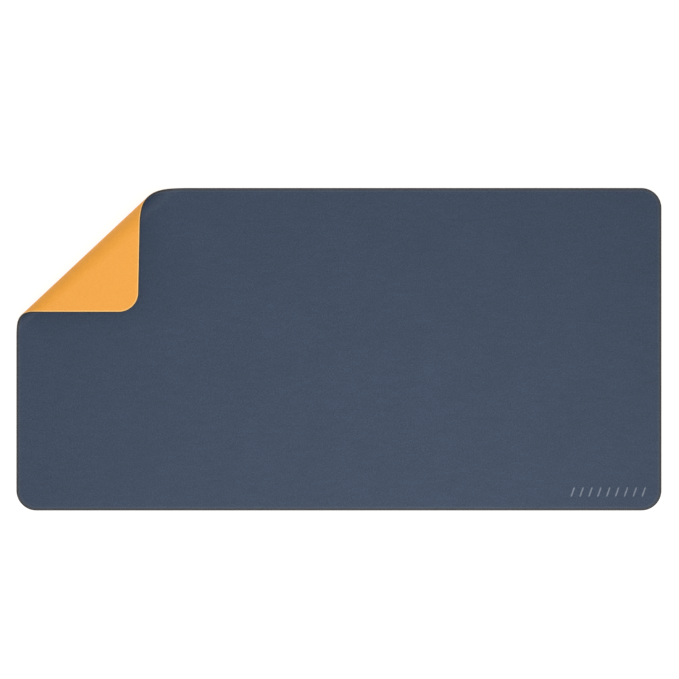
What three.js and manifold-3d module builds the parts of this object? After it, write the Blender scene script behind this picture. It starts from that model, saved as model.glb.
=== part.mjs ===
// A desk mat: two leather-look skins bonded to a thin core, sewn together round the edge and sealed there
// with a dark coat, with one corner curled over on itself. Millimetres, +Z up. The mat lies on the plane
// Z = 0, and the origin is under the middle of its flat length and width, with +X along the length and +Y
// towards the far edge. The curled corner is the one at -X, +Y. It bends round a slender cone, whose point
// is far out on the left. The bend is made of narrow flat panels, each hinged to the next along the
// underside on a line through the cone's point, so that the corner lies flat again when they all turn back.

import * as THREE from 'three';
import { mergeVertices } from 'three/addons/utils/BufferGeometryUtils.js';
import Module from 'manifold-3d';

// The flat mat.
const LENGTH = 800;
const WIDTH = 400;
const CORNER_RADIUS = 25;
const CORNER_STEPS = 12;
const SKIN = 0.8;
const CORE = 0.4;
const THICKNESS = 2 * SKIN + CORE;
const EDGE_COAT = 0.8;

// The edge seam: a pressed groove in each skin, with a thread lying on its floor.
const SEAM_INSET = 2.5;
const GROOVE_WIDTH = 1.2;
const GROOVE_DEPTH = 0.4;
const THREAD_WIDTH = 0.6;
const THREAD_HEIGHT = 0.3;

// The curled corner. BEND_START is where the bend starts, as a distance from the corner's sharp point
// along its diagonal. BEND_RADIUS is the cone's radius there, on the underside skin, which is on the
// outside of the bend, and CONE_REACH is how far away the cone's point is. START_SLOPE is the direction
// of the line where the bend starts, measured from +X, and BEND_ANGLE is how far the mat goes round.
const BEND_START = 136.7;
const BEND_RADIUS = 17.3;
const CONE_REACH = 434;
const START_SLOPE = THREE.MathUtils.degToRad(40.8);
const BEND_ANGLE = THREE.MathUtils.degToRad(193.6);
const HINGES = 16;
const PANEL_GAP = 0.3;

// Flat panels that touch the cone all round: the angle at the cone's point that each one covers, and
// the turn from each to the next.
const CONE_ANGLE = Math.atan(BEND_RADIUS / CONE_REACH);
const HALF_STEP = BEND_ANGLE / HINGES / 2;
const PANEL_ANGLE = 2 * Math.atan(Math.sin(CONE_ANGLE) * Math.tan(HALF_STEP));
const TURN = 2 * Math.asin(Math.cos(CONE_ANGLE) * Math.sin(HALF_STEP));

const UP = new THREE.Vector3(0, 0, 1);
const CONE_POINT = new THREE.Vector3(-LENGTH / 2, WIDTH / 2, 0)
  .addScaledVector(new THREE.Vector3(1, -1, 0).normalize(), BEND_START)
  .addScaledVector(new THREE.Vector3(Math.cos(START_SLOPE), Math.sin(START_SLOPE), 0), -CONE_REACH);
const BEYOND_THE_MAT = 2 * (LENGTH + WIDTH);

const LAYERS = {
  bottom_skin: { from: 0, to: SKIN },
  core: { from: SKIN, to: SKIN + CORE },
  top_skin: { from: SKIN + CORE, to: THICKNESS },
};

const MATERIALS = {
  top_skin: new THREE.MeshStandardMaterial({ color: 0x465163, roughness: 0.6, metalness: 0 }),
  core: new THREE.MeshStandardMaterial({ color: 0x8a8074, roughness: 0.9, metalness: 0 }),
  bottom_skin: new THREE.MeshStandardMaterial({ color: 0xf0a646, roughness: 0.6, metalness: 0 }),
  edge_coat: new THREE.MeshStandardMaterial({ color: 0x3b3430, roughness: 0.5, metalness: 0 }),
  needle_thread: new THREE.MeshStandardMaterial({ color: 0x38414f, roughness: 0.8, metalness: 0 }),
  bobbin_thread: new THREE.MeshStandardMaterial({ color: 0xd0862e, roughness: 0.8, metalness: 0 }),
};

const wasm = await Module();
wasm.setup();

/** A closed three.js geometry as a manifold solid. */
function toSolid(geometry) {
  const bare = geometry.clone();
  bare.deleteAttribute('normal');
  bare.deleteAttribute('uv');
  const merged = mergeVertices(bare, 1e-5);
  return new wasm.Manifold(new wasm.Mesh({
    numProp: 3,
    vertProperties: new Float32Array(merged.attributes.position.array),
    triVerts: new Uint32Array(merged.index.array),
  }));
}

/** A manifold solid as a three.js geometry. */
function toGeometry(solid) {
  const mesh = solid.getMesh();
  const geometry = new THREE.BufferGeometry();
  geometry.setAttribute('position', new THREE.BufferAttribute(mesh.vertProperties, 3));
  geometry.setIndex(new THREE.BufferAttribute(mesh.triVerts, 1));
  geometry.computeVertexNormals();
  return geometry;
}

/** The mat's outline moved inwards by inset, as a Shape or a Path. */
function outline(inset, Kind = THREE.Shape) {
  const x = LENGTH / 2 - inset;
  const y = WIDTH / 2 - inset;
  const r = CORNER_RADIUS - inset;
  const path = new Kind();
  path.moveTo(-x + r, -y);
  path.absarc(x - r, -y + r, r, -Math.PI / 2, 0);
  path.absarc(x - r, y - r, r, 0, Math.PI / 2);
  path.absarc(-x + r, y - r, r, Math.PI / 2, Math.PI);
  path.absarc(-x + r, -y + r, r, Math.PI, 1.5 * Math.PI);
  return path;
}

/** A flat plate of the given shape between two heights. */
function plate(shape, from, to) {
  const geometry = new THREE.ExtrudeGeometry(shape, {
    depth: to - from,
    bevelEnabled: false,
    curveSegments: CORNER_STEPS,
  });
  return toSolid(geometry.translate(0, 0, from));
}

/** A band that follows the mat's outline all the way round, between two distances in from it. */
function band(outer, inner, from, to) {
  const shape = outline(outer);
  shape.holes.push(outline(inner, THREE.Path));
  return plate(shape, from, to);
}

/** A band of the given width along the middle of the seam. */
function seamBand(width, from, to) {
  return band(SEAM_INSET - width / 2, SEAM_INSET + width / 2, from, to);
}

/** One whole layer of the flat mat, with the seam's groove pressed into each skin. */
function wholeLayer(name) {
  const { from, to } = LAYERS[name];
  const layer = plate(outline(EDGE_COAT), from, to);
  if (name === 'top_skin') {
    return layer.subtract(seamBand(GROOVE_WIDTH, THICKNESS - GROOVE_DEPTH, THICKNESS + 1));
  }
  if (name === 'bottom_skin') {
    return layer.subtract(seamBand(GROOVE_WIDTH, -1, GROOVE_DEPTH));
  }
  return layer;
}

/** What finishes the edge: its coat, and the two threads, each lying on the floor of its groove. */
function wholeTrim() {
  const topFloor = THICKNESS - GROOVE_DEPTH;
  return {
    edge_coat: band(0, EDGE_COAT, 0, THICKNESS),
    needle_thread: seamBand(THREAD_WIDTH, topFloor, topFloor + THREAD_HEIGHT),
    bobbin_thread: seamBand(THREAD_WIDTH, GROOVE_DEPTH - THREAD_HEIGHT, GROOVE_DEPTH),
  };
}

/** The direction of hinge number i on the flat mat, away from the cone's point; the first is number 1. */
function hingeDirection(i) {
  const angle = START_SLOPE + (i - 0.5) * PANEL_ANGLE;
  return new THREE.Vector3(Math.cos(angle), Math.sin(angle), 0);
}

/**
 * Everything on one side of hinge number i: side is 1 for the corner's side and -1 for the main part's.
 * The cut leans away from the hinge by half a turn, so that neighbours clear each other when folded.
 */
function sideOfHinge(i, side) {
  const along = hingeDirection(i);
  const outward = UP.clone().cross(along);
  const space = new THREE.BoxGeometry(BEYOND_THE_MAT, BEYOND_THE_MAT, 2 * BEYOND_THE_MAT);
  space.translate(side * (BEYOND_THE_MAT + PANEL_GAP) / 2, 0, 0);
  space.rotateZ(-side * TURN / 2);
  const place = new THREE.Matrix4().makeBasis(outward, UP, along).setPosition(CONE_POINT);
  return toSolid(space.applyMatrix4(place));
}

/** The part of a whole piece that lies on panel number i: 0 is the flat main part, the last the corner. */
function cutToPanel(whole, i) {
  let piece = whole;
  if (i > 0) {
    piece = piece.intersect(sideOfHinge(i, 1));
  }
  if (i < HINGES) {
    piece = piece.intersect(sideOfHinge(i + 1, -1));
  }
  return piece;
}

/** The name of panel number i, which ends the names of its pieces. */
function panelName(i) {
  if (i === 0) {
    return 'main';
  }
  return i === HINGES ? 'corner' : `bend_${i}`;
}

/** The pieces of one panel: its three layers, and on the two large panels the edge's trim as well. */
function panelMeshes(i, layers, trim) {
  const large = i === 0 || i === HINGES;
  const pieces = large ? { ...layers, ...trim } : layers;
  return Object.entries(pieces).map(([name, whole]) => {
    const mesh = new THREE.Mesh(toGeometry(cutToPanel(whole, i)), MATERIALS[name]);
    mesh.name = `${name}_${panelName(i)}`;
    return mesh;
  });
}

/** A group that turns what it holds up and over about hinge number i. */
function hingeGroup(i) {
  const turned = new THREE.Group();
  const centred = new THREE.Group();
  turned.position.copy(CONE_POINT);
  turned.quaternion.setFromAxisAngle(hingeDirection(i), TURN);
  centred.position.copy(CONE_POINT).negate();
  turned.add(centred);
  return { turned, centred };
}

/** The whole mat: each panel of the bend is carried by the one before it. */
function buildMat() {
  const layers = Object.fromEntries(Object.keys(LAYERS).map((name) => [name, wholeLayer(name)]));
  const trim = wholeTrim();
  const mat = new THREE.Group();
  let carrier = mat;
  for (let i = 0; i <= HINGES; i += 1) {
    if (i > 0) {
      const { turned, centred } = hingeGroup(i);
      carrier.add(turned);
      carrier = centred;
    }
    carrier.add(...panelMeshes(i, layers, trim));
  }
  return mat;
}

const group = buildMat();

export default group;
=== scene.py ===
"""A two-sided leather-look desk mat with one corner curled over on itself.

Every layer is first laid out on the flat mat, in millimetres: x along the length, y along the width,
and the height above the underside. curl() then carries each point to where it is at rest. Where the mat
bends, the layers are cut into one strip for each hinge of the CAD part.
"""

import math

import bpy
import numpy as np
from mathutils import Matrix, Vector
from mathutils.geometry import delaunay_2d_cdt


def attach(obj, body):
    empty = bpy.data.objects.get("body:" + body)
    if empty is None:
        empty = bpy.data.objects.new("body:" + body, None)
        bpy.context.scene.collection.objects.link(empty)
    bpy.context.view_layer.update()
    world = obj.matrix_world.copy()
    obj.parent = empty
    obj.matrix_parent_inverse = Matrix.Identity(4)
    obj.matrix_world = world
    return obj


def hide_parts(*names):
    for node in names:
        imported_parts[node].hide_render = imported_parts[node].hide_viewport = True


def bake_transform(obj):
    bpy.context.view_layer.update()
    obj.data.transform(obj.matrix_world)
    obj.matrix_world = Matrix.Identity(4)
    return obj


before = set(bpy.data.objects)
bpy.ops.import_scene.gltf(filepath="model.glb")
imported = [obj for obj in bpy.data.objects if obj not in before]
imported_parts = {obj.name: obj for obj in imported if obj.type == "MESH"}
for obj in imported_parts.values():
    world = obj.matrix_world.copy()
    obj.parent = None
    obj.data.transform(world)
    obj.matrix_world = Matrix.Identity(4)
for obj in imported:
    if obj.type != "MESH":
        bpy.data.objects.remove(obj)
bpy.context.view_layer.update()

MM = 0.001

# The flat mat, as in the CAD part. The layers end at COAT_WIDTH in from the edge, where the coat begins.
LENGTH = 800.0
WIDTH = 400.0
CORNER_RADIUS = 25.0
SKIN = 0.8
CORE = 0.4
CORE_TOP = SKIN + CORE
THICKNESS = 2 * SKIN + CORE
COAT_WIDTH = 1.25
SEAM_INSET = 2.5

# The curl, as in the CAD part: it goes round a slender cone whose point is far out on the left. On the
# flat mat, the lines from the cone's point over the bend open out like a fan.
BEND_START = 136.7
BEND_RADIUS = 17.3
CONE_REACH = 434.0
START_SLOPE = math.radians(40.8)
BEND_ANGLE = math.radians(193.6)
HINGES = 16
CONE_ANGLE = math.atan(BEND_RADIUS / CONE_REACH)
PANEL_ANGLE = 2 * math.atan(math.sin(CONE_ANGLE) * math.tan(BEND_ANGLE / HINGES / 2))
FAN_ANGLE = HINGES * PANEL_ANGLE
ALONG_START = np.array([math.cos(START_SLOPE), math.sin(START_SLOPE)])
CONE_POINT = (
    np.array([-LENGTH / 2, WIDTH / 2])
    + BEND_START * np.array([1, -1]) / math.sqrt(2)
    - CONE_REACH * ALONG_START
)

# The outline's four straight sides, anticlockwise from the curled corner: left, bottom, right and top.
# Each starts beside the centre of a rounded corner. Distances along the outline are measured on the seam.
CENTRE_X = LENGTH / 2 - CORNER_RADIUS
CENTRE_Y = WIDTH / 2 - CORNER_RADIUS
SIDE_CENTRES = np.array(
    [(-CENTRE_X, CENTRE_Y), (-CENTRE_X, -CENTRE_Y), (CENTRE_X, -CENTRE_Y), (CENTRE_X, CENTRE_Y)]
)
SIDE_LENGTHS = np.array([2 * CENTRE_Y, 2 * CENTRE_X, 2 * CENTRE_Y, 2 * CENTRE_X])
SIDE_FACING = math.pi + np.arange(4) * math.pi / 2
SEAM_RADIUS = CORNER_RADIUS - SEAM_INSET
SIDE_STARTS = np.concatenate([[0], np.cumsum(SIDE_LENGTHS + SEAM_RADIUS * math.pi / 2)])
SEAM_LENGTH = SIDE_STARTS[4]

# How far the seam, its needle holes, the padded look inside it and the rolled shoulder press a skin in.
# LOWER_PRESS is the lower skin's share of it.
GROOVE_HALF = 0.95
GROOVE_PRESS = 0.3
PUCKER = 0.3
HOLE_PRESS = 0.12
HOLE_RADIUS = 0.35
PILLOW_WIDTH = 4.0
PILLOW_PRESS = 0.1
SHOULDER_INSET = 1.8
SHOULDER_PRESS = 0.2
LOWER_PRESS = 0.18

# The stitches. A stitch keeps its thickness almost to its ends, where it dives into the skin: the higher
# STITCH_BLUNTNESS is, the longer it keeps it. STITCH_TIP is the square of its size there, as a share.
STITCHES = 688
PITCH = SEAM_LENGTH / STITCHES
STITCH_LENGTH = 2.7
STITCH_SLANT = 0.06
STITCH_RINGS = 9
STITCH_SIDES = 8
STITCH_BLUNTNESS = 6
STITCH_TIP = 0.04
THREAD_HALF_WIDTH = 0.3
THREAD_HALF_HEIGHT = 0.15
THREAD_DEPTH = 0.15
THREAD_DIVE = 0.3
THREAD_TWIST = 9.0

# The bead of coat over the edge. Heights are from the middle of the mat's thickness, and the powers make
# the round side squarer than a half ellipse. COAT_LIP_NORMAL is the outward and upward parts of a normal.
COAT_SIDES = 14
COAT_CROWN_INSET = 1.3
COAT_CROWN_HEIGHT = 0.84
COAT_OUTER_POWER = 0.8
COAT_UPPER_POWER = 0.75
COAT_LIP_INSET = 1.5
COAT_LIP_HEIGHT = 0.74
COAT_LIP_NORMAL = (-0.3, 0.95)
COAT_INNER_INSET = COAT_WIDTH + 0.1
COAT_INNER_HEIGHT = 0.5

# A row of plain slanted bars, stamped into the upper skin near the lower right corner.
MARKS = 9
MARK_LAST_X = 378.0
MARK_Y = -177.0
MARK_SPACING = 11.0
MARK_LENGTH = 12.0
MARK_HALF_WIDTH = 1.0
MARK_LEAN = 0.35
MARK_ROUND_STEPS = 7
MARK_DEPTH = 0.4
MARK_WALL = 0.35

# Rings of points round the outline, by their distance in from it, and the grid of points inside them.
PILLOW_RINGS = [6.5, 5.5, 4.6, 3.9]
GROOVE_RINGS = [3.4, 3.1, 2.85, 2.65, 2.5, 2.35, 2.15, 1.95]
SHOULDER_RINGS = [1.8, 1.65, 1.5, 1.37]
FACE_RINGS = [*PILLOW_RINGS, *GROOVE_RINGS, *SHOULDER_RINGS, COAT_WIDTH]
INNER_RING = 14.0
GRID = 20.0

# Stations along the outline, where a layer's cross-section is laid out. Those at the ends of a chain lean
# along the bend's lines, and the lean fades over LEAN_FADE. END_GAP is in steps between stations.
STATIONS_PER_STITCH = 4
STRIP_STEPS = 8
LEAN_FADE = 60.0
END_GAP = 0.4
SLOPE_STEP = 0.01

# Leather. The scales are in repeats per millimetre, the warp in millimetres, the creases' widths in parts of
# a cell, and the depth in metres.
WARP_SCALE = 0.55
WARP_REACH = 1.6
CELL_SCALE = 0.82
CELL_CREASE = 0.38
PEBBLE_SCALE = 2.1
PEBBLE_CREASE = 0.35
PEBBLE_SHARE = 0.35
PORE_SCALE = 6.0
PORE_SHARE = 0.3
GRAIN_DEPTH = 0.00006
CREASE_ROUGHER = 0.16
CROWN_SMOOTHER = 0.02

# The leather's mottling: long flecks, wide clouds and small specks, and the mean of their sum.
FLECK_SCALES = (0.05, 0.16, 0.1)
FLECK_SHARE = 0.3
CLOUD_SCALE = 0.012
CLOUD_SHARE = 0.2
SPECK_SCALE = 0.5
MEAN_UNEVENNESS = (1 + FLECK_SHARE + CLOUD_SHARE) / 2

# The other materials, in the same units.
FIBRE_SCALES = (0.6, 5.0)
FELT_DEPTH = 0.00008
COAT_RIPPLE_SCALE = 0.7
COAT_SPECK_SCALE = 5.0
COAT_SPECK_SHARE = 0.2
COAT_DEPTH = 0.00008
THREAD_FIBRE_SCALE = 12.0
THREAD_FIBRE_SHARE = 0.3
PLY_DEPTH = 0.00006

# The view, in metres: a far camera straight above, and the part of the plane z = 0 that it frames.
VIEW_SPAN = 0.8422
VIEW_CENTRE = (0.0007, 0.0121)
CAMERA_HEIGHT = 20.0

# The floor, in metres. It glows a little, so that it looks white.
FLOOR_SIZE = 30.0
FLOOR_HEIGHT = -0.0002
FLOOR_COLOUR = (0.32, 0.32, 0.32, 1)
FLOOR_GLOW = 0.78
SKY_STRENGTH = 0.28


def direction(angle):
    """Unit vectors at these angles from +X."""
    return np.stack([np.cos(angle), np.sin(angle)], axis=-1)


def on_outline(along, inset):
    """The points at distances along the seam and in from the edge, and the directions out and along there."""
    along = np.mod(along, SEAM_LENGTH)
    side = np.clip(np.searchsorted(SIDE_STARTS, along, side="right") - 1, 0, 3)
    on_side = along - SIDE_STARTS[side]
    straight = np.minimum(on_side, SIDE_LENGTHS[side])
    facing = SIDE_FACING[side]
    centre = SIDE_CENTRES[side] + straight[..., None] * direction(facing + math.pi / 2)
    facing = facing + (on_side - straight) / SEAM_RADIUS
    outwards = direction(facing)
    return centre + (CORNER_RADIUS - inset)[..., None] * outwards, outwards, direction(facing + math.pi / 2)


def pressed(along, inset):
    """How far the seam and the rolled shoulder press a skin's face in."""
    across = inset - SEAM_INSET
    phase = along / PITCH
    groove = GROOVE_PRESS * np.clip(1 - (across / GROOVE_HALF) ** 2, 0, 1) ** 2
    groove = groove * (1 + PUCKER * np.cos(2 * math.pi * phase))
    from_hole = (phase - np.round(phase)) * PITCH
    hole = HOLE_PRESS * np.exp(-(across**2 + from_hole**2) / HOLE_RADIUS**2)
    inwards = np.clip(across / PILLOW_WIDTH, 0, 1)
    pillow = PILLOW_PRESS * (1 - inwards * inwards * (3 - 2 * inwards))
    rolled = np.clip((SHOULDER_INSET - inset) / (SHOULDER_INSET - COAT_WIDTH), 0, None)
    return groove + hole + pillow + SHOULDER_PRESS * rolled**2


def curl(points, normals):
    """Carries points (x, y, height) and directions from the flat mat to where they are at rest."""
    along, outward = np.append(ALONG_START, 0), np.array([-ALONG_START[1], ALONG_START[0], 0])
    up = np.array([0.0, 0.0, 1.0])
    axis = along * math.cos(CONE_ANGLE) + up * math.sin(CONE_ANGLE)
    down = along * math.sin(CONE_ANGLE) - up * math.cos(CONE_ANGLE)

    # Where each point is in the fan: its distance from the cone's point, and its angle within the bend
    # and past it. The angle within the bend is a turn round the cone.
    from_point = points[:, :2] - CONE_POINT
    reach = np.linalg.norm(from_point, axis=1)
    fan = np.arctan2(from_point @ outward[:2], from_point @ along[:2])
    bent = np.clip(fan, 0, FAN_ANGLE)
    past = (fan - bent)[:, None]
    turn = (bent * BEND_ANGLE / FAN_ANGLE)[:, None]

    # The cone's line there, and the directions round the cone and out of the mat's upper face.
    off_axis = np.cos(turn) * down + np.sin(turn) * outward
    ruling = axis * math.cos(CONE_ANGLE) + math.sin(CONE_ANGLE) * off_axis
    tangent = np.cos(turn) * outward - np.sin(turn) * down
    face = np.cross(ruling, tangent)
    radial = np.cos(past) * ruling + np.sin(past) * tangent
    around = np.cos(past) * tangent - np.sin(past) * ruling
    rest = np.append(CONE_POINT, 0) + reach[:, None] * radial + points[:, 2:] * face

    flat_radial = from_point / reach[:, None]
    flat_around = np.stack([-flat_radial[:, 1], flat_radial[:, 0]], axis=1)
    turned = (
        (normals[:, :2] * flat_radial).sum(1)[:, None] * radial
        + (normals[:, :2] * flat_around).sum(1)[:, None] * around
        + normals[:, 2:] * face
    )
    return rest, turned / np.linalg.norm(turned, axis=1)[:, None]


class Shape:
    """Points of the flat mat and faces over them.

    Each point has a normal, its inset, and a detail: the angle of the twist on a thread, 1 on the floor
    of a stamped mark, and 0 elsewhere.
    """

    def __init__(self):
        self.points = np.zeros((0, 3))
        self.normals = np.zeros((0, 3))
        self.insets = np.zeros(0)
        self.details = np.zeros(0)
        self.faces = []
        self.flat_faces = []

    def add(self, points, normals, insets, details=0.0):
        """Adds points, and returns their numbers in the same layout."""
        layout = points.shape[:-1]
        numbers = np.arange(int(np.prod(layout))).reshape(layout) + len(self.points)
        self.points = np.concatenate([self.points, points.reshape(-1, 3)])
        self.normals = np.concatenate([self.normals, normals.reshape(-1, 3)])
        self.insets = np.concatenate([self.insets, np.broadcast_to(insets, layout).ravel()])
        self.details = np.concatenate([self.details, np.broadcast_to(details, layout).ravel()])
        return numbers


class Profile:
    """A layer's cross-section at the edge: rings from the inner upper one, out to the edge and back below.

    Each ring is its inset, its height, its share of the press, and its normal's outward and upward parts.
    """

    def __init__(self, rings):
        columns = np.array(rings, float).T
        self.inset, self.height, self.press, self.outwards, self.upwards = columns


def skin_profile(low, high, low_press, high_press):
    """A layer between two heights; each face is pressed in by its share of the seam's press."""
    below = FACE_RINGS[::-1] if low_press else [COAT_WIDTH]
    rings = [(INNER_RING, high, high_press, 0, 1)]
    rings += [(inset, high, high_press, 0, 1) for inset in FACE_RINGS]
    rings += [(inset, low, low_press, 0, -1) for inset in below]
    rings += [(INNER_RING, low, low_press, 0, -1)]
    return Profile(rings)


def thin_profile(low, high):
    """A layer between two plain faces."""
    upper = [(INNER_RING, high, 0, 0, 1), (COAT_WIDTH, high, 0, 0, 1)]
    lower = [(COAT_WIDTH, low, 0, 0, -1), (INNER_RING, low, 0, 0, -1)]
    return Profile(upper + lower)


def coat_profile():
    """The bead of coat: rounded outside, with a lip on each face and a hidden side within."""
    middle = THICKNESS / 2
    angles = np.linspace(math.pi / 2, -math.pi / 2, COAT_SIDES)
    c, s = np.cos(angles), np.sin(angles)
    inset = COAT_CROWN_INSET * (1 - np.abs(c) ** COAT_OUTER_POWER)
    height = middle + COAT_CROWN_HEIGHT * np.sign(s) * np.abs(s) ** COAT_UPPER_POWER
    outwards, upwards = COAT_LIP_NORMAL
    rings = [(COAT_LIP_INSET, middle + COAT_LIP_HEIGHT, 0, outwards, upwards)]
    rings += [(i, z, 0, a, b) for i, z, a, b in zip(inset, height, c, s, strict=True)]
    rings += [(COAT_LIP_INSET, middle - COAT_LIP_HEIGHT, 0, outwards, -upwards)]
    rings += [(COAT_INNER_INSET, middle - COAT_INNER_HEIGHT, 0, -1, 0)]
    rings += [(COAT_INNER_INSET, middle + COAT_INNER_HEIGHT, 0, -1, 0)]
    return Profile(rings)


def crossing(fan, on_left):
    """The station where the line at that angle in the fan crosses the left or the top edge.

    A station is its distance along the seam, and how far it leans along the seam per millimetre of inset.
    """
    slope = math.tan(START_SLOPE + fan)
    if on_left:
        y = CONE_POINT[1] + (-LENGTH / 2 - CONE_POINT[0]) * slope
        return CENTRE_Y - y, -slope
    x = CONE_POINT[0] + (WIDTH / 2 - CONE_POINT[1]) / slope
    return SIDE_STARTS[3] + CENTRE_X - x, 1 / slope


def long_chain(first, last):
    """Stations from one crossing round to another, in step with the stitches between them."""
    start, end = first[0], last[0]
    step = PITCH / STATIONS_PER_STITCH
    between = np.arange(math.ceil(start / step + END_GAP), math.floor(end / step - END_GAP) + 1) * step
    lean = first[1] * np.clip(1 - (between - start) / LEAN_FADE, 0, 1)
    lean += last[1] * np.clip(1 - (end - between) / LEAN_FADE, 0, 1)
    return np.array([first, *zip(between, lean, strict=True), last])


def short_chain(fans, on_left):
    """The stations where lines at several angles in the fan cross one edge."""
    return np.array([crossing(fan, on_left) for fan in fans])


def thinned(chain):
    """Every other station of a chain, and its last."""
    return np.concatenate([chain[:-1:2], chain[-1:]])


def add_chain(shape, profile, chain):
    """Adds the profile's points at every station of a chain."""
    inset = np.broadcast_to(profile.inset, (len(chain), len(profile.inset)))
    along = chain[:, :1] + chain[:, 1:] * inset
    place, outwards, forwards = on_outline(along, inset)
    step = SLOPE_STEP
    by_inset = (pressed(along, inset + step) - pressed(along, inset - step)) / (2 * step)
    by_along = (pressed(along + step, inset) - pressed(along - step, inset)) / (2 * step)
    height = profile.height + profile.press * pressed(along, inset)
    normals = profile.outwards[:, None] * outwards
    tilt = (profile.upwards * profile.press)[None, :, None]
    normals = normals + tilt * (by_inset[..., None] * outwards - by_along[..., None] * forwards)
    upwards = np.broadcast_to(profile.upwards, inset.shape)
    points = np.concatenate([place, height[..., None]], axis=2)
    return shape.add(points, np.concatenate([normals, upwards[..., None]], axis=2), inset)


def join(shape, grid, closed):
    """Faces between the neighbouring stations and rings of a grid of points."""
    if closed:
        grid = np.concatenate([grid, grid[:, :1]], axis=1)
    here, next_ring = grid[:-1, :-1], grid[:-1, 1:]
    next_both, next_station = grid[1:, 1:], grid[1:, :-1]
    shape.faces += np.stack([here, next_ring, next_both, next_station], axis=2).reshape(-1, 4).tolist()


def add_face(shape, corners):
    """Adds a face that is shaded smoothly."""
    shape.faces.append([int(c) for c in corners])


def add_flat_face(shape, corners):
    """Adds a face that is shaded flat."""
    shape.flat_faces.append(len(shape.faces))
    add_face(shape, corners)


def add_flat_points(shape, places, height, facing, details=0.0):
    """Adds points at one height that all face one way."""
    points = np.concatenate([places, np.full((len(places), 1), height)], axis=1)
    return shape.add(points, np.tile(facing, (len(places), 1)), INNER_RING, details)


def gap(spot, ring):
    """How far a spot is from the nearest point of a ring."""
    return np.linalg.norm(ring - spot, axis=1).min()


def inside(spot, ring):
    """True if a spot lies inside a closed ring of points."""
    following = np.roll(ring, -1, axis=0)
    spans = (ring[:, 1] > spot[1]) != (following[:, 1] > spot[1])
    a, b = ring[spans], following[spans]
    crossings = a[:, 0] + (spot[1] - a[:, 1]) * (b[:, 0] - a[:, 0]) / (b[:, 1] - a[:, 1])
    return bool(np.count_nonzero(crossings > spot[0]) % 2)


def grid_spots(ring, marks):
    """The spots of a square grid that lie inside a ring, clear of it and of the marks."""
    xs = np.arange(-LENGTH / 2 + GRID, LENGTH / 2, GRID)
    ys = np.arange(-WIDTH / 2 + GRID, WIDTH / 2, GRID)
    spots = np.stack(np.meshgrid(xs, ys), axis=-1).reshape(-1, 2)
    spots = spots[[inside(spot, ring) and gap(spot, ring) > GRID / 2 for spot in spots]]
    for mark in marks:
        spots = spots[[gap(spot, mark) > GRID / 2 for spot in spots]]
    return spots


def fill(shape, loop, up, marks=()):
    """Fills a flat loop of points, anticlockwise seen from above, with triangles and the marks in it."""
    height = shape.points[loop[0], 2]
    facing = (0, 0, 1.0 if up else -1.0)
    grid = add_flat_points(shape, grid_spots(shape.points[loop, :2], marks), height, facing)
    rims = [add_flat_points(shape, mark, height, facing) for mark in marks]
    everything = np.concatenate([loop, grid, *rims])
    places = [Vector(p) for p in shape.points[everything, :2]]
    loops = [list(range(len(loop)))]
    first = len(loop) + len(grid)
    for rim in rims:
        loops.append(list(range(first, first + len(rim))))
        first += len(rim)
    _, _, faces, sources, _, from_loops = delaunay_2d_cdt(places, [], loops, 1, 1e-5, True)
    for face, in_loops in zip(faces, from_loops, strict=True):
        if max(in_loops) == 0:
            corners = [everything[sources[v][0]] for v in face]
            add_face(shape, corners if up else corners[::-1])
    for mark, rim in zip(marks, rims, strict=True):
        stamp(shape, mark, rim, height)


def stamp(shape, mark, rim, height):
    """The sloping wall and the floor of one stamped mark, whose outline is given as a ring of points."""
    inward = mark.mean(0) - mark
    floor_ring = mark + MARK_WALL * inward / np.linalg.norm(inward, axis=1)[:, None]
    floor = add_flat_points(shape, floor_ring, height - MARK_DEPTH, (0, 0, 1.0), details=1.0)
    following = np.roll(np.arange(len(mark)), -1)
    for i, j in enumerate(following):
        add_flat_face(shape, (rim[i], rim[j], floor[j], floor[i]))
    add_flat_face(shape, floor)


def stamped_marks():
    """The row of slanted bars, as outlines that run anticlockwise."""
    ends = np.linspace(0, math.pi, MARK_ROUND_STEPS)
    cap = MARK_HALF_WIDTH * direction(ends)
    half_length = np.array([0, MARK_LENGTH / 2 - MARK_HALF_WIDTH])
    upright = np.concatenate([cap + half_length, -cap - half_length])
    lean = np.array([[1, 0], [MARK_LEAN, 1]])
    xs = MARK_LAST_X - MARK_SPACING * np.arange(MARKS)
    return [upright @ lean + [x, MARK_Y] for x in xs]


def dropped(shape):
    """The shape without the points that no face uses."""
    used = np.unique(np.concatenate([np.array(f) for f in shape.faces]))
    renumber = np.full(len(shape.points), -1)
    renumber[used] = np.arange(len(used))
    shape.points, shape.normals = shape.points[used], shape.normals[used]
    shape.insets, shape.details = shape.insets[used], shape.details[used]
    shape.faces = [renumber[f].tolist() for f in shape.faces]
    return shape


def layer_zone(profile, chain, marks=()):
    """A large part of a layer: its edge along a chain of stations, its two faces, and the cut that closes it.

    On the innermost rings only one station in each stitch is used.
    """
    shape = Shape()
    grid = add_chain(shape, profile, chain)
    join(shape, grid[:, 1:-1], closed=False)
    coarse = [*range(0, len(chain) - STATIONS_PER_STITCH, STATIONS_PER_STITCH), len(chain) - 1]
    for a, b in zip(coarse[:-1], coarse[1:], strict=True):
        fine = list(range(a, b + 1))
        add_face(shape, [grid[a, 0], *grid[fine, 1], grid[b, 0]])
        add_face(shape, [grid[a, -1], grid[b, -1], *grid[fine[::-1], -2]])
    fill(shape, grid[coarse, 0], up=True, marks=marks)
    fill(shape, grid[coarse, -1], up=False)
    add_flat_face(shape, [*grid[-1], *grid[0][::-1]])
    return dropped(shape)


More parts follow.
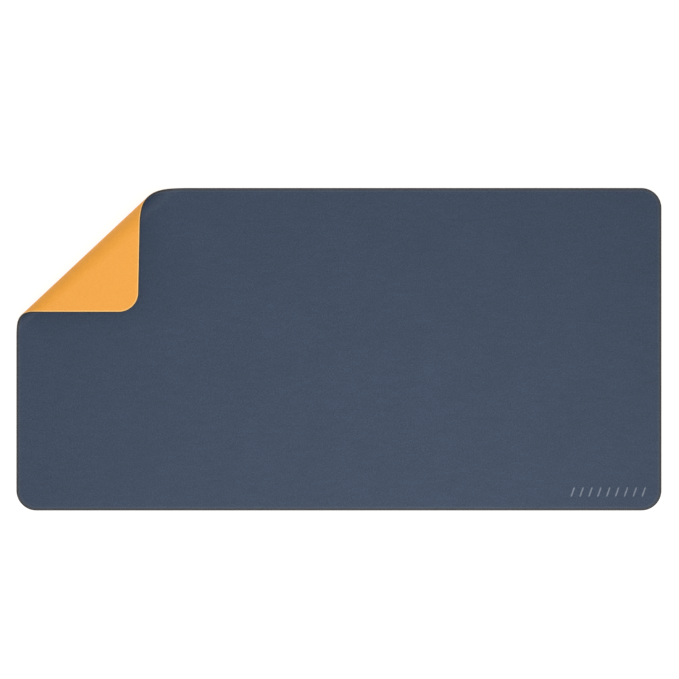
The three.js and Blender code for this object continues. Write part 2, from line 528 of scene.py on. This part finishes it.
def layer_strip(profile, fans):
    """The part of a layer between two lines through the cone's point, in narrow faces along such lines."""
    shape = Shape()
    left = add_chain(shape, profile, short_chain(fans[::-1], on_left=True))[::-1]
    top = add_chain(shape, profile, short_chain(fans, on_left=False))
    join(shape, left[::-1], closed=False)
    join(shape, top, closed=False)
    for j in range(len(fans) - 1):
        add_face(shape, (top[j, 0], top[j + 1, 0], left[j + 1, 0], left[j, 0]))
        add_face(shape, (left[j, -1], left[j + 1, -1], top[j + 1, -1], top[j, -1]))
    add_flat_face(shape, [*left[0], *top[0][::-1]])
    add_flat_face(shape, [*top[-1], *left[-1][::-1]])
    return shape


def bead(profile, chains):
    """A closed bead along each chain of stations, with its ends capped."""
    shape = Shape()
    for chain in chains:
        grid = add_chain(shape, profile, chain)
        join(shape, grid, closed=True)
        add_flat_face(shape, grid[0][::-1])
        add_flat_face(shape, grid[-1])
    return shape


def strip_fans(k):
    """The angles in the fan that strip number k covers, from 1 to HINGES."""
    return np.linspace((k - 1) * PANEL_ANGLE, k * PANEL_ANGLE, STRIP_STEPS + 1)


def body_name(k):
    """The CAD body that is number k in the chain from the main part to the corner."""
    return "main" if k == 0 else "corner" if k == HINGES else f"bend_{k}"


def part_name(k):
    """The part that strip number k is, or the one beyond the first or the last strip."""
    return "main" if k < 1 else "corner" if k > HINGES else f"bend_{k}"


# The edge of the main part and of the corner, each from one side of the bend round to the other.
CORNER_FIRST = crossing(FAN_ANGLE, on_left=False)
CORNER_LAST = crossing(FAN_ANGLE, on_left=True)
MAIN_CHAIN = long_chain(crossing(0, on_left=True), crossing(0, on_left=False))
CORNER_CHAIN = long_chain(CORNER_FIRST, (CORNER_LAST[0] + SEAM_LENGTH, CORNER_LAST[1]))


def layer_shapes(profile, marks=()):
    """A layer in its parts: main, the strips of the bend, and the corner."""
    shapes = {"main": layer_zone(profile, MAIN_CHAIN, marks)}
    for k in range(1, HINGES + 1):
        shapes[part_name(k)] = layer_strip(profile, strip_fans(k))
    shapes["corner"] = layer_zone(profile, CORNER_CHAIN)
    return shapes


def coat_shapes():
    """The edge coat in the same parts."""
    profile = coat_profile()
    shapes = {"main": bead(profile, [thinned(MAIN_CHAIN)])}
    for k in range(1, HINGES + 1):
        fans = strip_fans(k)
        chains = [short_chain(fans[::-1], on_left=True), short_chain(fans, on_left=False)]
        shapes[part_name(k)] = bead(profile, chains)
    shapes["corner"] = bead(profile, [thinned(CORNER_CHAIN)])
    return shapes


def add_stitch(shape, centre, up):
    """Adds one stitch, whose middle is that far along the seam, as a tube of rings with closed ends."""
    t = np.linspace(-1, 1, STITCH_RINGS)[:, None]
    around = np.linspace(0, 2 * math.pi, STITCH_SIDES, endpoint=False)[None, :]
    size = np.sqrt(np.clip(1 - t**STITCH_BLUNTNESS, STITCH_TIP, 1))
    from_centre = t * STITCH_LENGTH / 2 + 0 * around
    inset = SEAM_INSET + STITCH_SLANT * t * STITCH_LENGTH + THREAD_HALF_WIDTH * size * np.cos(around)
    dive = THREAD_DIVE * t**STITCH_BLUNTNESS
    depth = THREAD_DEPTH + dive - THREAD_HALF_HEIGHT * size * np.sin(around)
    height = THICKNESS - depth if up else depth
    inwards = np.cos(around) + 0 * t
    upwards = np.sin(around) * (1 if up else -1) + 0 * t

    place, outwards, _ = on_outline(centre + from_centre, inset)
    points = np.concatenate([place, height[..., None]], axis=2)
    normals = np.concatenate([-inwards[..., None] * outwards, upwards[..., None]], axis=2)
    grid = shape.add(points, normals, inset, THREAD_TWIST * from_centre + around)
    if not up:
        grid = grid[::-1]
    join(shape, grid, closed=True)
    add_face(shape, grid[0][::-1])
    add_face(shape, grid[-1])


def part_at(along):
    """The part that the seam lies on, that far along it."""
    place, _, _ = on_outline(np.array([along]), np.array([SEAM_INSET]))
    x, y = place[0] - CONE_POINT
    fan = math.atan2(y, x) - START_SLOPE
    return part_name(math.floor(fan / PANEL_ANGLE) + 1)


def stitch_shapes(up):
    """The stitches on one face, sorted into the parts that they lie on."""
    shapes = {part_name(k): Shape() for k in range(HINGES + 2)}
    for n in range(STITCHES):
        centre = (n + 0.5) * PITCH
        add_stitch(shapes[part_at(centre)], centre, up)
    return {name: shape for name, shape in shapes.items() if shape.faces}


def make_object(name, shape, material):
    """The shape at rest as an object, with its own normals, so that neighbours join without a seam."""
    rest, normals = curl(shape.points, shape.normals)
    mesh = bpy.data.meshes.new(name)
    mesh.from_pydata((rest * MM).tolist(), [], shape.faces)
    mesh.attributes.new("flat_mm", "FLOAT_VECTOR", "POINT").data.foreach_set("vector", shape.points.ravel())
    mesh.attributes.new("inset_mm", "FLOAT", "POINT").data.foreach_set("value", shape.insets)
    mesh.attributes.new("detail", "FLOAT", "POINT").data.foreach_set("value", shape.details)
    mesh.polygons.foreach_set("use_smooth", np.ones(len(mesh.polygons), bool))
    corner_points = np.zeros(len(mesh.loops), int)
    mesh.loops.foreach_get("vertex_index", corner_points)
    corner_normals = normals[corner_points]
    for face in shape.flat_faces:
        polygon = mesh.polygons[face]
        corner_normals[polygon.loop_start : polygon.loop_start + polygon.loop_total] = polygon.normal
    mesh.normals_split_custom_set(corner_normals.tolist())
    mesh.materials.append(material)
    obj = bpy.data.objects.new(name, mesh)
    bpy.context.scene.collection.objects.link(obj)
    return obj


def make_pieces(label, shapes, material, cad_name, cad_parts):
    """The objects of one layer or thread, each on its body; the strips of the bend are left on no body.

    cad_name is the CAD nodes' material slot, and with a part's name it is a node's name.
    """
    made = {}
    for part, shape in shapes.items():
        piece = make_object(f"{label}_{part}", shape, material)
        if part.startswith("bend_"):
            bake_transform(piece)
        else:
            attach(piece, part)
        if part in cad_parts:
            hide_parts(f"{cad_name}_{part}")
        made[part] = piece
    return made


# The Mix node's colour sockets, which share their names with its other kinds.
COLOUR_A = 6
COLOUR_B = 7
COLOUR_RESULT = 2


class Tree:
    """A material and its nodes."""

    def __init__(self, name):
        self.material = bpy.data.materials.new(name)
        self.material.use_nodes = True
        self.shader = self.material.node_tree.nodes["Principled BSDF"]

    def put(self, socket, value):
        """Links a socket's output to another socket, or sets a plain value on it."""
        if isinstance(value, bpy.types.NodeSocket):
            self.material.node_tree.links.new(value, socket)
        else:
            socket.default_value = value

    def node(self, kind, inputs, output, **settings):
        """Adds a node with these inputs, and returns the socket of its output."""
        made = self.material.node_tree.nodes.new(kind)
        for setting, value in settings.items():
            setattr(made, setting, value)
        for socket, value in inputs.items():
            self.put(made.inputs[socket], value)
        return made.outputs[output]

    def attribute(self, name, output):
        return self.node("ShaderNodeAttribute", {}, output, attribute_name=name)

    def math(self, operation, *values):
        return self.node("ShaderNodeMath", dict(enumerate(values)), 0, operation=operation)

    def plus(self, value, share, other):
        """The value with a share of another one added."""
        return self.math("MULTIPLY_ADD", other, share, value)

    def spread(self, value, low, high, to_low=0.0, to_high=1.0):
        """The value carried smoothly from one range to another."""
        inputs = {"Value": value, "From Min": low, "From Max": high, "To Min": to_low, "To Max": to_high}
        return self.node("ShaderNodeMapRange", inputs, "Result", interpolation_type="SMOOTHSTEP")

    def mix(self, share, first, second):
        """The first colour where the share is 0, and the second where it is 1."""
        made = self.material.node_tree.nodes.new("ShaderNodeMix")
        made.data_type = "RGBA"
        self.put(made.inputs["Factor"], share)
        self.put(made.inputs[COLOUR_A], first)
        self.put(made.inputs[COLOUR_B], second)
        return made.outputs[COLOUR_RESULT]

    def noise(self, place, scale, detail=2.0):
        inputs = {"Vector": place, "Scale": scale, "Detail": detail}
        return self.node("ShaderNodeTexNoise", inputs, "Fac")

    def cells(self, place, scale):
        """The distance to the nearest crease between cells."""
        inputs = {"Vector": place, "Scale": scale}
        return self.node("ShaderNodeTexVoronoi", inputs, "Distance", feature="DISTANCE_TO_EDGE")

    def stretched(self, place, x, y, z):
        return self.node("ShaderNodeMapping", {"Vector": place, "Scale": (x, y, z)}, "Vector")

    def warped(self, place, scale, reach):
        """The place moved about by noise, as far as its reach in each direction."""
        noise = self.node("ShaderNodeTexNoise", {"Vector": place, "Scale": scale, "Detail": 3.0}, "Color")
        inputs = {0: noise, 1: (reach, reach, reach), 2: place}
        return self.node("ShaderNodeVectorMath", inputs, 0, operation="MULTIPLY_ADD")

    def scaled(self, colour, factor):
        return self.node("ShaderNodeVectorMath", {0: colour, "Scale": factor}, 0, operation="SCALE")

    def bump(self, height, depth):
        inputs = {"Height": height, "Distance": depth, "Strength": 1.0}
        self.put(self.shader.inputs["Normal"], self.node("ShaderNodeBump", inputs, "Normal"))

    def surface(self, **inputs):
        """Sets the shader's inputs, whose names have _ for each space, and returns the material."""
        for socket, value in inputs.items():
            self.put(self.shader.inputs[socket.replace("_", " ")], value)
        return self.material


def leather(name, face, crease, rim, rim_highlight_fade, mottle, roughness, shine, stamped):
    """Pressed leather-look grain: plump cells between fine creases, mottled, with painted shade in the
    creases, a painted highlight at the rim and painted sheen on the floors of stamped marks.
    """
    t = Tree(name)
    place = t.attribute("flat_mm", "Vector")
    warped = t.warped(place, WARP_SCALE, WARP_REACH)
    plump = t.spread(t.cells(warped, CELL_SCALE), 0.0, CELL_CREASE)
    pebbles = t.spread(t.cells(warped, PEBBLE_SCALE), 0.0, PEBBLE_CREASE)
    pores = t.noise(place, PORE_SCALE, 3.0)
    height = t.plus(t.plus(plump, PORE_SHARE, pores), PEBBLE_SHARE, pebbles)
    t.bump(height, GRAIN_DEPTH)

    flecks = t.noise(t.stretched(place, *FLECK_SCALES), 1.0, 4.0)
    clouds = t.noise(place, CLOUD_SCALE, 2.0)
    specks = t.noise(place, SPECK_SCALE, 3.0)
    unevenness = t.plus(t.plus(specks, CLOUD_SHARE, clouds), FLECK_SHARE, flecks)
    tone = t.math("MULTIPLY_ADD", unevenness, mottle, 1 - MEAN_UNEVENNESS * mottle)
    # Painted shade: the darker crease colour fills the low spots of the grain, its creases.
    grain_with_crease_shade = t.mix(t.spread(height, 0.15, 0.85), crease, face)
    # Painted highlight: the rim colour lightens the face near the edge, fading in over the given insets.
    with_rim_highlight = t.mix(t.spread(t.attribute("inset_mm", "Fac"), *rim_highlight_fade), grain_with_crease_shade, rim)
    # Painted sheen: the floors of the stamped marks take a lighter colour.
    coloured = t.mix(t.attribute("detail", "Fac"), with_rim_highlight, stamped)
    rough = t.spread(height, 0.1, 1.5, roughness + CREASE_ROUGHER, roughness - CROWN_SMOOTHER)
    return t.surface(Base_Color=t.scaled(coloured, tone), Roughness=rough, Specular_IOR_Level=shine)


def felt(name, fibre, between):
    """The non-woven core: short pressed fibres that lie all ways, with painted shade in the low spots between
    them.
    """
    t = Tree(name)
    place = t.attribute("flat_mm", "Vector")
    lengthwise, across = FIBRE_SCALES
    one_way = t.noise(t.stretched(place, lengthwise, across, across), 1.0, 3.0)
    other_way = t.noise(t.stretched(place, across, lengthwise, across), 1.0, 3.0)
    height = t.math("MAXIMUM", one_way, other_way)
    t.bump(height, FELT_DEPTH)
    # Painted shade: the low spots between the fibres take the darker colour.
    colour = t.mix(t.spread(height, 0.4, 0.7), between, fibre)
    return t.surface(Base_Color=colour, Roughness=0.9, Specular_IOR_Level=0.2)


def coat(name, paint, rubbed):
    """The brushed-on edge coat: satin, a little uneven, and rubbed paler where it is proud."""
    t = Tree(name)
    place = t.attribute("flat_mm", "Vector")
    ripple = t.noise(place, COAT_RIPPLE_SCALE, 3.0)
    speck = t.noise(place, COAT_SPECK_SCALE, 2.0)
    t.bump(t.plus(ripple, COAT_SPECK_SHARE, speck), COAT_DEPTH)
    colour = t.mix(t.spread(ripple, 0.45, 0.8), paint, rubbed)
    roughness = t.spread(speck, 0.3, 0.7, 0.42, 0.58)
    return t.surface(Base_Color=colour, Roughness=roughness, Specular_IOR_Level=0.35)


def thread(name, lit, shaded):
    """Twisted thread: plies wind round it, with fine fibres across them."""
    t = Tree(name)
    plies = t.math("ABSOLUTE", t.math("SINE", t.attribute("detail", "Fac")))
    fibres = t.noise(t.attribute("flat_mm", "Vector"), THREAD_FIBRE_SCALE, 2.0)
    height = t.plus(plies, THREAD_FIBRE_SHARE, fibres)
    t.bump(height, PLY_DEPTH)
    colour = t.mix(t.spread(height, 0.1, 1.0), shaded, lit)
    return t.surface(Base_Color=colour, Roughness=0.75, Sheen_Weight=0.2)


def add_camera():
    camera = bpy.data.cameras.new("camera")
    camera.lens = camera.sensor_width * CAMERA_HEIGHT / VIEW_SPAN
    camera.clip_end = 2 * CAMERA_HEIGHT
    obj = bpy.data.objects.new("camera", camera)
    obj.location = (*VIEW_CENTRE, CAMERA_HEIGHT)
    bpy.context.scene.collection.objects.link(obj)
    bpy.context.scene.camera = obj


def add_floor():
    mesh = bpy.data.meshes.new("floor")
    half = FLOOR_SIZE / 2
    corners = ((-half, -half), (half, -half), (half, half), (-half, half))
    mesh.from_pydata([(x, y, FLOOR_HEIGHT) for x, y in corners], [], [(0, 1, 2, 3)])
    t = Tree("floor")
    t.surface(Base_Color=FLOOR_COLOUR, Roughness=0.8, Specular_IOR_Level=0.1)
    t.surface(Emission_Color=(1, 1, 1, 1), Emission_Strength=FLOOR_GLOW)
    mesh.materials.append(t.material)
    obj = bpy.data.objects.new("floor", mesh)
    bpy.context.scene.collection.objects.link(obj)


def add_soft_light(name, place, size, power, fills=False):
    """A square light that points at the middle of the mat; one that fills casts no shadow or reflection."""
    light = bpy.data.lights.new(name, "AREA")
    light.shape = "SQUARE"
    light.size = size
    light.energy = power
    light.use_shadow = not fills
    obj = bpy.data.objects.new(name, light)
    obj.location = place
    obj.rotation_euler = (-Vector(place)).to_track_quat("-Z", "Y").to_euler()
    obj.visible_camera = False
    obj.visible_glossy = not fills
    bpy.context.scene.collection.objects.link(obj)


def add_sky(strength):
    """White light from all round."""
    world = bpy.data.worlds.new("studio")
    world.use_nodes = True
    world.node_tree.nodes["Background"].inputs["Color"].default_value = (1, 1, 1, 1)
    world.node_tree.nodes["Background"].inputs["Strength"].default_value = strength
    bpy.context.scene.world = world


NAVY = leather(
    "navy_leather",
    face=(0.0385, 0.0605, 0.103, 1),
    # crease: painted shade in the grain's creases.
    crease=(0.027, 0.044, 0.080, 1),
    # rim: a painted highlight on the padded band inside the seam.
    rim=(0.055, 0.071, 0.100, 1),
    rim_highlight_fade=(5.4, 3.6),
    mottle=0.85,
    roughness=0.54,
    shine=0.38,
    # stamped: painted sheen on the floors of the marks.
    stamped=(0.17, 0.20, 0.25, 1),
)
ORANGE = leather(
    "orange_leather",
    face=(0.88, 0.374, 0.041, 1),
    # crease: painted shade in the grain's creases.
    crease=(0.80, 0.315, 0.028, 1),
    # rim: a painted highlight along the rounded edge.
    rim=(0.92, 0.54, 0.18, 1),
    rim_highlight_fade=(3.2, 2.0),
    mottle=0.12,
    roughness=0.50,
    shine=0.5,
    stamped=(0.88, 0.374, 0.041, 1),
)
# between: painted shade in the low spots between the fibres.
FELT = felt("core_felt", fibre=(0.30, 0.27, 0.22, 1), between=(0.19, 0.17, 0.14, 1))
COAT = coat("edge_coat", paint=(0.037, 0.026, 0.016, 1), rubbed=(0.062, 0.045, 0.030, 1))
NAVY_THREAD = thread("navy_thread", lit=(0.056, 0.066, 0.084, 1), shaded=(0.024, 0.029, 0.040, 1))
ORANGE_THREAD = thread("orange_thread", lit=(0.92, 0.43, 0.08, 1), shaded=(0.84, 0.36, 0.05, 1))

# The parts that the CAD part has nodes for: the layers' panels, and the trim of the two large parts.
CAD_PANELS = [body_name(k) for k in range(HINGES + 1)]
CAD_TRIM = ["main", "corner"]

LOWER_LAYER = layer_shapes(skin_profile(0, SKIN, low_press=LOWER_PRESS, high_press=0))
CORE_LAYER = layer_shapes(thin_profile(SKIN, CORE_TOP))
UPPER_LAYER = layer_shapes(skin_profile(CORE_TOP, THICKNESS, low_press=0, high_press=-1), stamped_marks())

LOWER_SKIN = make_pieces("lower_skin", LOWER_LAYER, ORANGE, "bottom_skin", CAD_PANELS)
CORE_SHEET = make_pieces("core_sheet", CORE_LAYER, FELT, "core", CAD_PANELS)
UPPER_SKIN = make_pieces("upper_skin", UPPER_LAYER, NAVY, "top_skin", CAD_PANELS)
make_pieces("edge_bead", coat_shapes(), COAT, "edge_coat", CAD_TRIM)
make_pieces("needle_stitches", stitch_shapes(up=True), NAVY_THREAD, "needle_thread", CAD_TRIM)
make_pieces("bobbin_stitches", stitch_shapes(up=False), ORANGE_THREAD, "bobbin_thread", CAD_TRIM)

add_camera()
add_floor()
add_soft_light("key", place=(0.15, -0.52, 1.0), size=1.0, power=10.2)
add_soft_light("overhead", place=(-0.2, 0.5, 1.3), size=1.6, power=8.1, fills=True)
add_soft_light("far_left", place=(-1.5, 1.5, 0.6), size=1.2, power=7, fills=True)
add_sky(SKY_STRENGTH)
bpy.context.scene.view_settings.view_transform = "Standard"
